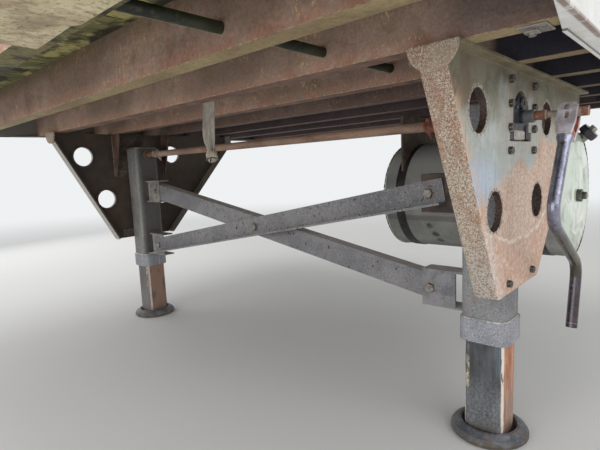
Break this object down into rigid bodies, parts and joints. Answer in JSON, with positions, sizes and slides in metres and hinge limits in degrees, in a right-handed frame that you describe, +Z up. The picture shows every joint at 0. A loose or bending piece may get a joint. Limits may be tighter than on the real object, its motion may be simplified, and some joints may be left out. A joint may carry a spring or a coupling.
{
  "type": "semi-trailer landing gear with underframe bay",
  "caption": "Crank-driven landing gear of a semi trailer: two telescopic legs on flanged wing plates, cross braces, cross shaft and folding crank, under a bay of the floor frame.",
  "frame": {"origin": "top face of the floor boards on the centre line, straight above the line through both legs", "axes": "+X to the front of the trailer, +Y to the crank side, +Z up out of the deck"},
  "size_m": [2.48, 2.438, 1.162],
  "materials": {
    "brace_grey": "matt",
    "cap_black": "matt",
    "clevis_grey": "satin",
    "conduit_dark": "satin",
    "coupler_beige": "matt",
    "crank_dark": "glossy",
    "deck_board": "weathered",
    "gear_dark": "matt",
    "inner_tube": "worn, rusted",
    "leg_dark": "matt",
    "rail_white": "satin",
    "rusty_beam": "rusted",
    "saddle_brown": "rusted",
    "shaft_rust": "rusted",
    "shoe_dark": "matt",
    "strap_dark": "matt",
    "tank_cap_pale": "chalky",
    "tank_grey": "matt",
    "webbing": "dirty",
    "wing_galvanised": "galvanised and rusted"
  },
  "bodies": {
    "underframe": {"brace_brackets_left": "brace_grey", "brace_brackets_right": "brace_grey", "brace_front": "brace_grey", "brace_rear": "brace_grey", "brace_spacer": "brace_grey", "conduit": "conduit_dark", "coupler_plates": "coupler_beige", "crossmembers": "rusty_beam", "flange_caps": "wing_galvanised", "floor_boards": "deck_board", "gearbox_case": "gear_dark", "hanging_strap": "webbing", "housing_caps": "leg_dark", "housing_collars": "leg_dark", "leg_housing_left": "leg_dark", "leg_housing_right": "leg_dark", "leg_mount_plates": "leg_dark", "leg_tube_left": "inner_tube", "leg_tube_right": "inner_tube", "sand_shoe_left": "shoe_dark", "sand_shoe_right": "shoe_dark", "shaft_bosses": "gear_dark", "side_rail_left": "rail_white", "side_rail_right": "rail_white", "tank_body": "tank_grey", "tank_end_caps": "tank_cap_pale", "tank_end_fitting": "tank_grey", "tank_filler_cap": "cap_black", "tank_filler_neck": "tank_cap_pale", "tank_saddles": "saddle_brown", "tank_straps": "strap_dark", "wing_gussets": "rusty_beam", "wing_plate_left": "wing_galvanised", "wing_plate_right": "wing_galvanised"},
    "crank_shaft": {"output_shaft": "shaft_rust", "clevis_pin": "clevis_grey"},
    "crank_arm": {"crank_clevis": "clevis_grey", "crank_handle": "crank_dark"},
    "cross_shaft": {"cross_shaft_tube": "shaft_rust", "shaft_stubs": "shaft_rust", "shaft_couplings": "shaft_rust"}
  },
  "joints": [
    {"name": "crank_turn", "type": "hinge", "parent": "underframe", "child": "crank_shaft", "pos_m": [0, 1.117, -0.278], "axis": [0, 1, 0], "range_deg": [-85, 85]},
    {"name": "crank_fold", "type": "hinge", "parent": "crank_shaft", "child": "crank_arm", "pos_m": [0, 1.117, -0.278], "axis": [0.8663, 0, 0.4995], "range_deg": [0, 90]},
    {"name": "cross_shaft_turn", "type": "hinge", "parent": "underframe", "child": "cross_shaft", "pos_m": [0, 0, -0.278], "axis": [0, 1, 0], "continuous": true}
  ],
  "couplings": [
    {"joint": "cross_shaft_turn", "follows": "crank_turn", "ratio": 1}
  ]
}
